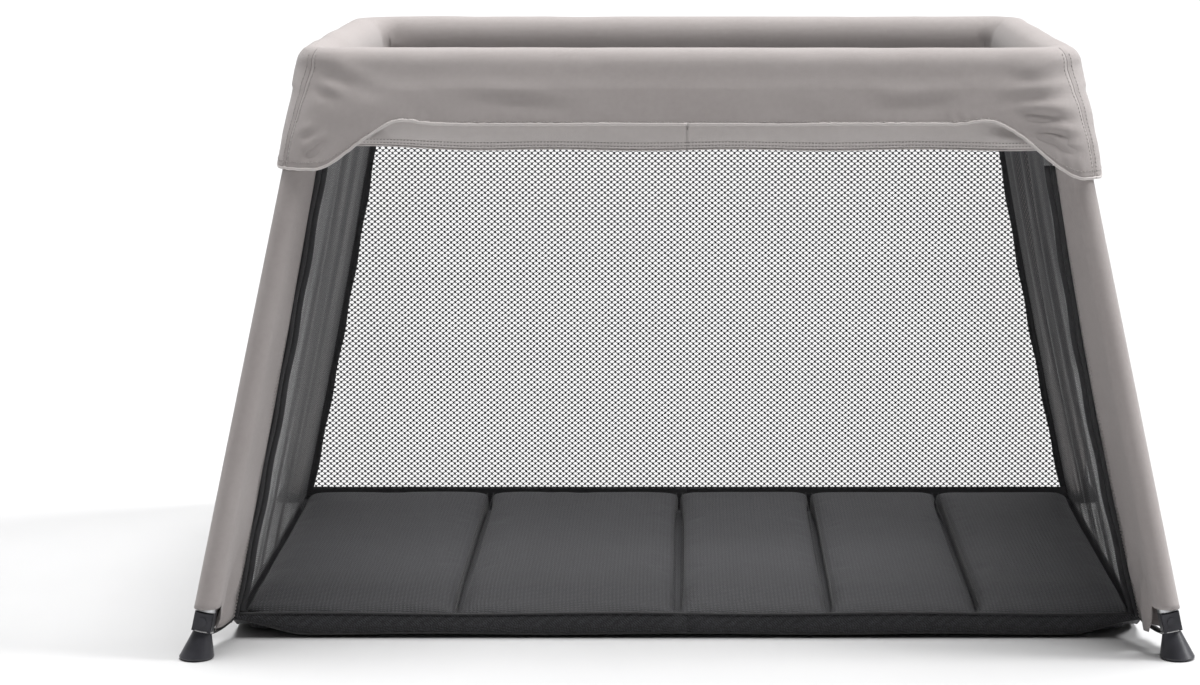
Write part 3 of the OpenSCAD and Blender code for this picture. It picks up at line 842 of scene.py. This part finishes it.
def make_end_valance(side):
    rows, cols = 12, 60
    high = BOX_TOP_Z - 0.0005
    points = np.empty((rows, cols, 3))
    for i, z in enumerate(np.linspace(NET_TOP, high, rows)):
        near, far = corner_line(f"near_{side}", z), corner_line(f"far_{side}", z)
        inner = 0.030 / abs(far.y - near.y)
        for j, t in enumerate(np.linspace(inner, 1 - inner, cols)):
            p = near.lerp(far, t)
            belly = 0.002 * sin(pi * i / (rows - 1)) * (1 + 0.5 * sin(p.y * 21))
            points[i, j] = (p.x + SIDES[side] * (0.0012 + belly), p.y, z)
    # The lining colour carries painted light, standing in for light that shines through the thin band.
    band = sheet_grid(f"{side}_end_band", points, LINING_WITH_PAINTED_BACKLIGHT)
    thicken(band, BAND_T)
    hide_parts(f"{side}_end_valance")
    fold_away(band, side)


def make_piping(corner):
    """Black corded edge where a long net meets an end net, with a flat tape beside it."""
    side = corner.split("_")[1]
    sx, sy = CORNERS[corner]
    heights = np.linspace(TRAY_H - 0.004, 0.531, 60)
    line = [corner_line(corner, z) + Vector((sx * 0.0008 * sin(z * 70), 0, 0)) for z in heights]
    cord = tube(f"{corner}_piping", line, 0.0031, PIPING, sides=12)
    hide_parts("corner_piping")
    fold_away(cord, side)
    tape = np.array([[p + Vector((-sx * across, -sy * 0.0012, 0)) for across in (0.001, 0.005, 0.0095)]
                     for p in line])
    strip = sheet_grid(f"{corner}_tape", tape, PIPING)
    thicken(strip, TAPE_T)
    fold_away(strip, side)


def tray_lift(x, y):
    """The straps hold the tray's corners up from the floor."""
    near_corner = smooth((abs(x) - TRAY_X + 0.085) / 0.085) * smooth((abs(y) - TRAY_Y + 0.05) / 0.05)
    return 0.0165 * near_corner + 0.0006 * (1 + sin(x * 23 + 1.3)) * (abs(y) > TRAY_Y - 0.02)


def make_tray(side):
    """Half of the floor cloth, with its upright rim."""
    sx = SIDES[side]
    low = tray_low.z + 0.0006
    wall = np.linspace(0, 1, 6)
    xs = np.concatenate([np.linspace(0, TRAY_X - 0.09, 22, endpoint=False),
                         np.linspace(TRAY_X - 0.09, TRAY_X - 0.0008, 16)])
    ys = np.concatenate([-np.linspace(TRAY_Y - 0.0008, TRAY_Y - 0.06, 12, endpoint=False),
                         np.linspace(-TRAY_Y + 0.06, TRAY_Y - 0.06, 20, endpoint=False),
                         np.linspace(TRAY_Y - 0.06, TRAY_Y - 0.0008, 12)])
    floor = np.array([[(sx * x, y, low + tray_lift(x, y)) for y in ys] for x in xs])
    verts = list(floor.reshape(-1, 3))
    rows, cols = floor.shape[:2]
    faces = grid_faces(rows, cols)
    rim = [(i, 0) for i in range(rows)] + [(rows - 1, j) for j in range(1, cols)]
    rim += [(i, cols - 1) for i in range(rows - 2, -1, -1)]
    last = [i * cols + j for i, j in rim]
    for share in wall[1:]:
        ring = []
        for i, j in rim:
            x, y, z = floor[i, j]
            top = TRAY_H - 0.0008 * (1 + sin(x * 19))
            bulge = 0.0012 * sin(pi * share)
            lean = 0.0055 * share
            ring.append(len(verts))
            out_x = sx if i == rows - 1 else 0
            out_y = -1 if j == 0 else (1 if j == cols - 1 else 0)
            verts.append((x + out_x * (bulge - lean), y + out_y * (bulge - lean * 0.2), mix(z, top, share)))
        faces += [(last[k], last[k + 1], ring[k + 1], ring[k]) for k in range(len(rim) - 1)]
        last = ring
    tray = new_object(f"{side}_tray", verts, faces, TRAY_CLOTH)
    tray.data.materials.append(BASE_CLOTH)
    wall_faces = (rows - 1) * (cols - 1)
    for index in range(wall_faces, wall_faces + 2 * (len(rim) - 1)):
        tray.data.polygons[index].material_index = 1
    thicken(tray, 0.001)
    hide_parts("floor_tray")
    fold_away(tray, side)
    fold_away(tube(f"{side}_tray_edge", [verts[k] for k in last], 0.0016, PIPING, sides=8), side)
    bottom = [Vector(verts[i * cols + j]) + Vector((0, 0, 0.0004)) for i, j in rim]
    fold_away(tube(f"{side}_tray_seam", bottom, 0.0013, PIPING, sides=8), side)


# ---------------------------------------------------------------- leg cloth, straps and feet

def make_sleeve(corner):
    """Cloth tube on a leg, creased where it is pushed together above the foot."""
    leg = leg_direction(corner)
    low, high = 0.0555, PIVOT.z - 0.030
    side = leg.orthogonal().normalized()
    across = leg.cross(side)
    rows, cols = 90, 28
    points = np.empty((rows, cols, 3))
    for i, z in enumerate(np.linspace(low, high, rows)):
        crumple = smooth((0.16 - z) / 0.1) + 0.5 * smooth((z - high + 0.06) / 0.06)
        for j in range(cols):
            angle = 2 * pi * j / cols
            out = side * cos(angle) + across * sin(angle)
            crease = wobble(3 * out.x, 3 * out.y, z * 70)
            radius = SLEEVE_R + 0.0007 * crease * crumple
            points[i, j] = leg_line(corner, z) + out * radius
    sleeve = sheet_grid(f"{corner}_sleeve", points, GREIGE, wrap_cols=True)
    thicken(sleeve, CLOTH_T)
    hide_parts(f"{corner}_leg_sleeve")
    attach(sleeve, f"{corner}_leg")


GUSSET_TIP = 0.0020                               # from the corner line to the panel's sewn edge


def gusset_section(corner, z, count=40):
    """Closed outline of the leg's cloth at a height: round the leg, and narrow at the piping."""
    leg, tip = leg_line(corner, z), corner_line(corner, z)
    sx, sy = CORNERS[corner]
    tip = tip + Vector((sx * GUSSET_TIP, sy * GUSSET_TIP, 0))
    inward = tip - leg
    reach = inward.length
    inward.normalize()
    side = Vector((-inward.y, inward.x, 0))
    meet = acos(min(0.999, GUSSET_R / reach)) if reach > GUSSET_R else 0.1
    outline = []
    turn = 2 * (pi - meet)
    arc = int(count * 0.55)
    for k in range(arc + 1):
        angle = meet + turn * k / arc
        outline.append(leg + GUSSET_R * (inward * cos(angle) + side * sin(angle)))
    straight = count - arc
    start, end = outline[-1], outline[0]
    for k in range(1, straight // 2 + 1):
        outline.append(start.lerp(tip, k / (straight // 2)))
    for k in range(1, straight // 2):
        outline.append(tip.lerp(end, k / (straight // 2)))
    return outline


def make_gusset(corner):
    """Beige panel that ties the leg to the corner of the nets."""
    sx, sy = CORNERS[corner]
    high = PIVOT.z - 0.024
    rows, cols = 90, len(gusset_section(corner, high))
    points = np.empty((rows, cols, 3))
    for k in range(cols):
        probe, leg, tip = gusset_section(corner, 0.05)[k], leg_line(corner, 0.05), corner_line(corner, 0.05)
        t = (probe - leg).dot(tip - leg) / (tip - leg).length_squared
        low = mix(0.0545, 0.0220, smooth((t - 0.19) / 0.10))
        face = 1 if k > cols * 0.77 else -1
        for i, z in enumerate(np.linspace(low, high, rows)):
            leg, tip = leg_line(corner, z), corner_line(corner, z)
            across = tip - leg
            p = gusset_section(corner, z)[k]
            t = (p - leg).dot(across) / across.length_squared
            free = smooth(t / 0.4) * smooth((1 - t) / 0.12)
            slack = 0.25 + 0.75 * smooth((0.20 - z) / 0.14) + 0.4 * smooth((z - 0.49) / 0.04)
            wave = wobble(t * 2.6 + sx, face * 2 + sy, z * 16)
            fine = wobble(t * 5 + sx * 3, face * 5 - sy, z * 48)
            slit = -0.0065 * exp(-((t - 0.42) / 0.11) ** 2) * smooth((0.105 - z) / 0.05) * face * sx * sy
            shift = (0.0042 * wave + 0.0026 * fine * smooth((0.17 - z) / 0.1)) * slack * free
            points[i, k] = p + Vector((-across.y, across.x, 0)).normalized() * (shift + slit)
    skin = sheet_grid(f"{corner}_gusset", points, GREIGE, wrap_cols=True)
    thicken(skin, CLOTH_T)
    gather_on_leg(skin, corner)
    for k, inset in enumerate((0.0035, 0.0075)):
        line, out = [], []
        for z in np.linspace(0.027, high - 0.01, 120):
            leg, tip = leg_line(corner, z), corner_line(corner, z)
            inward = (tip - leg).normalized()
            place = tip + Vector((sx * GUSSET_TIP, sy * GUSSET_TIP, 0)) - inward * inset
            front = Vector((-inward.y, inward.x, 0))
            if front.y * sy < 0:
                front = -front
            line.append(place + front * (0.0011 + inset * 0.20))
            out.append(front)
        sewn = stitches(f"{corner}_gusset_stitches_{k}", line, out, GREIGE_SEAM, length=0.0024, pitch=0.0040)
        gather_on_leg(sewn, corner)


def gather_on_leg(piece, corner):
    """The panel moves with its leg as the cot folds."""
    leg = leg_direction(corner)
    axis = corner_line(corner, 0.08) - leg_line(corner, 0.08)
    axis = (axis - leg * axis.dot(leg)).normalized()
    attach(piece, f"{corner}_leg")
    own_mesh(piece)


def make_strap(corner):
    """Webbing strap from the foot's lug to the tray's corner, with a small loop at the tray."""
    side = corner.split("_")[1]
    sx, sy = CORNERS[corner]
    foot = Vector((sx * FOOT.x, sy * FOOT.y, 0))
    tray = Vector((sx * TRAY_X, sy * TRAY_Y, 0))
    inward = (tray - foot).normalized()
    across = Vector((-inward.y, inward.x, 0))
    start = foot + inward * 0.008 + Vector((0, 0, 0.0243))
    end = tray - inward * 0.001 + Vector((0, 0, 0.0235))
    rows = 22
    points = np.empty((rows, 5, 3))
    for i, t in enumerate(np.linspace(0, 1, rows)):
        centre = start.lerp(end, t) - Vector((0, 0, 0.0045 * sin(pi * t)))
        half = 0.0052 - 0.0008 * sin(pi * t)
        for j, s in enumerate(np.linspace(-1, 1, 5)):
            points[i, j] = centre + across * half * s + Vector((0, 0, -0.0006 * s * s))
    strap = sheet_grid(f"{corner}_strap", points, WEBBING)
    thicken(strap, 0.0013)
    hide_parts(f"{side}_foot_straps")
    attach(strap, f"{corner}_leg")
    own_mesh(strap)
    loop = []
    for k in range(25):
        angle = 2 * pi * k / 24
        loop.append(end + Vector((0, 0, 0.0012)) + inward * 0.0045 * cos(angle)
                    + Vector((0, 0, 0.0060 * sin(angle))))
    ring = tube(f"{corner}_strap_loop", loop, 0.0012, WEBBING, sides=8, caps=False)
    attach(ring, f"{corner}_leg")
    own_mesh(ring)


def make_foot_ring(corner):
    """Thin pale ring between the foot's cone and its square fitting."""
    leg = leg_direction(corner)
    centre = leg_line(corner, 0) + leg * 0.0305
    side = leg.orthogonal().normalized()
    across = leg.cross(side)
    circle = [centre + 0.0118 * (side * cos(a) + across * sin(a))
              for a in np.linspace(0, 2 * pi, 41)]
    ring = tube(f"{corner}_foot_ring", circle, 0.0008, PALE_RING, sides=8, caps=False)
    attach(ring, f"{corner}_leg")


# ---------------------------------------------------------------- mattress

def rounded_panel(low, high, rounding, step):
    """A closed box of quads with rounded edges, as vertices and faces."""
    size = [high[k] - low[k] for k in range(3)]
    counts = [max(2, int(round(s / step))) for s in size]
    index, verts, faces = {}, [], []

    def vertex(i, j, k):
        key = (i, j, k)
        if key not in index:
            p = [low[a] + size[a] * key[a] / counts[a] for a in range(3)]
            core = [min(max(p[a], low[a] + rounding), high[a] - rounding) for a in range(3)]
            off = Vector(p) - Vector(core)
            if off.length > 1e-9:
                reach = max(abs(c) for c in off)
                p = Vector(core) + off.normalized() * reach
            index[key] = len(verts)
            verts.append(tuple(p))
        return index[key]

    spans = [(0, 1, 2), (1, 2, 0), (2, 0, 1)]
    for a, b, c in spans:
        for level in (0, counts[c]):
            for i in range(counts[a]):
                for j in range(counts[b]):
                    corners = []
                    for di, dj in ((0, 0), (1, 0), (1, 1), (0, 1)):
                        key = [0, 0, 0]
                        key[a], key[b], key[c] = i + di, j + dj, level
                        corners.append(vertex(*key))
                    faces.append(tuple(corners if level else corners[::-1]))
    return verts, faces


def inflate(obj, pressure, cap):
    """Puffs a padded piece with cloth pressure, never moving a point further than cap."""
    start = np.array([v.co for v in obj.data.vertices])
    cloth = obj.modifiers.new("puff", "CLOTH")
    settings = cloth.settings
    settings.quality = 4
    settings.mass = 0.3
    settings.tension_stiffness = 40
    settings.compression_stiffness = 40
    settings.shear_stiffness = 20
    settings.bending_stiffness = 2.0
    settings.use_pressure = True
    settings.uniform_pressure_force = pressure
    settings.effector_weights.gravity = 0
    scene = bpy.context.scene
    for number in range(1, 21):
        scene.frame_set(number)
    apply_modifiers(obj)
    scene.frame_set(1)
    moved = np.array([v.co for v in obj.data.vertices]) - start
    far = np.linalg.norm(moved, axis=1, keepdims=True)
    return start + moved * np.minimum(1, cap / np.maximum(far, 1e-9))


def make_mattress_panel(number):
    node = f"mattress_panel_{number}"
    low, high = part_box(node)
    inset = 0.0016
    lo = (low.x + 0.0002, low.y + inset, low.z + 0.0004)
    hi = (high.x - 0.0002, high.y - inset, high.z - 0.0045)
    verts, faces = rounded_panel(lo, hi, 0.0036, 0.0066)
    panel = new_object(f"mattress_{number}_pad", verts, faces, MATTRESS_CLOTH)
    points = inflate(panel, 4.0, 0.005)
    middle = (low + high) / 2
    shaped = []
    for x, y, z in points:
        near_edge = smooth((abs(y) - 0.20) / 0.09) * (y < 0)
        top = smooth((z - low.z - 0.012) / 0.015)
        crown = (1 - ((x - middle.x) / (high.x - low.x) * 2) ** 8) * (1 - (y / high.y) ** 8)
        ripple = wobble(x * 9, y * 9, number) + 0.5 * wobble(x * 26, y * 22, number)
        dip = 0.0068 * near_edge
        z += top * (0.0022 * crown + 0.0006 * ripple - dip)
        plan = smooth((abs(y) - high.y + 0.03) / 0.03) if number in (1, 5) else 0
        outer_end = smooth((abs(x) - 0.506 + 0.03) / 0.03) * plan
        x -= copysign(0.010 * outer_end, x)
        y -= copysign(0.010 * outer_end, y)
        shaped.append((min(max(x, low.x + 0.0001), high.x - 0.0001), min(max(y, low.y), high.y),
                       min(max(z, low.z), high.z + 0.0035)))
    panel.data.vertices.foreach_set("co", np.array(shaped, np.float32).ravel())
    panel.data.polygons.foreach_set("use_smooth", [True] * len(panel.data.polygons))
    panel.data.update()
    refine = panel.modifiers.new("smoothing", "SUBSURF")
    refine.levels = refine.render_levels = 1
    apply_modifiers(panel)
    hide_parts(node)
    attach(panel, f"mattress_{number}")
    make_crease_seams(number, low, high)


def make_crease_seams(number, low, high):
    """Rows of stitches where a panel meets the next."""
    for tag, x, show in (("a", low.x, number > 1), ("b", high.x, number < 5)):
        if not show:
            continue
        inward = 1 if tag == "a" else -1
        line = [Vector((x + inward * 0.0034, y, high.z - 0.0026 - 0.0062 * smooth((-y - 0.2) / 0.09)
                        + 0.0004 * sin(y * 60))) for y in np.linspace(low.y + 0.012, high.y - 0.012, 80)]
        row = stitches(f"mattress_{number}_stitches_{tag}", line, [Vector((0, 0, 1))] * 80, PIPING,
                       length=0.0030, pitch=0.0048, thick=0.0005)
        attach(row, f"mattress_{number}")


# ---------------------------------------------------------------- floor, light and camera

def make_stage():
    s = Shade("studio_floor")
    s.set(Base_Color=s.ramp(s.noise(3, 2), [(0.3, (0.56, 0.56, 0.563)), (0.7, (0.58, 0.58, 0.583))]))
    s.set(Roughness=0.9, Specular_IOR_Level=0.1)
    reach = np.linspace(-60, 60, 13)
    points = np.array([[(x, y, -0.0002) for y in reach] for x in reach])
    floor = new_object("studio_floor", points.reshape(-1, 3),
                       [f[::-1] for f in grid_faces(*points.shape[:2])], s.material)


def add_softbox(name, towards_light, strength, spread):
    """A distant soft light, so that the floor is evenly lit out to the horizon."""
    light = bpy.data.lights.new(name, "SUN")
    light.energy = strength
    light.angle = radians(spread)
    obj = bpy.data.objects.new(name, light)
    obj.rotation_euler = Vector(towards_light).to_track_quat("Z", "Y").to_euler()
    bpy.context.collection.objects.link(obj)


def make_lights():
    """A pale room that is dimmer behind the camera, an overhead softbox, and a key from the right."""
    world = bpy.data.worlds.new("studio")
    bpy.context.scene.world = world
    world.use_nodes = True
    nodes, links = world.node_tree.nodes, world.node_tree.links
    split = nodes.new("ShaderNodeSeparateXYZ")
    links.new(nodes.new("ShaderNodeTexCoord").outputs["Generated"], split.inputs[0])
    ramp = nodes.new("ShaderNodeMapRange")
    links.new(split.outputs["Y"], ramp.inputs["Value"])
    ramp.inputs["From Min"].default_value = -0.6
    ramp.inputs["From Max"].default_value = 0.6
    ramp.inputs["To Min"].default_value = 0.03
    ramp.inputs["To Max"].default_value = 0.46
    links.new(ramp.outputs[0], nodes["Background"].inputs["Strength"])
    nodes["Background"].inputs["Color"].default_value = (1, 1, 1, 1)
    add_softbox("overhead", (0.08, 0.14, 1.0), 4.4, 40)
    add_softbox("key", (0.80, 0.04, 0.66), 1.9, 16)
    bpy.context.scene.view_settings.view_transform = "Standard"


def make_camera():
    camera = bpy.data.cameras.new("camera")
    camera.sensor_width = 36
    camera.lens = 88.35
    camera.shift_x = -0.0725
    camera.shift_y = 0.00725
    camera.clip_end = 100
    obj = bpy.data.objects.new("camera", camera)
    obj.location = (0, -3.512, 0.8926)
    obj.rotation_euler = (radians(80), 0, 0)
    bpy.context.collection.objects.link(obj)
    bpy.context.scene.camera = obj


make_camera()
make_stage()
make_lights()
paint_cad_nodes()

for name in SIDES:
    make_cover(name)
for name in ENDS:
    make_button_frame(name)
for name in CORNERS:
    make_piping(name)
for end_name in ENDS:
    for side_name in SIDES:
        make_side_net(end_name, side_name)
        make_valance(end_name, side_name)
for name in SIDES:
    make_end_net(name)
    make_end_valance(name)
    make_tray(name)
for name in CORNERS:
    make_sleeve(name)
    make_gusset(name)
    make_strap(name)
    make_foot_ring(name)
for panel_number in range(1, 6):
    make_mattress_panel(panel_number)
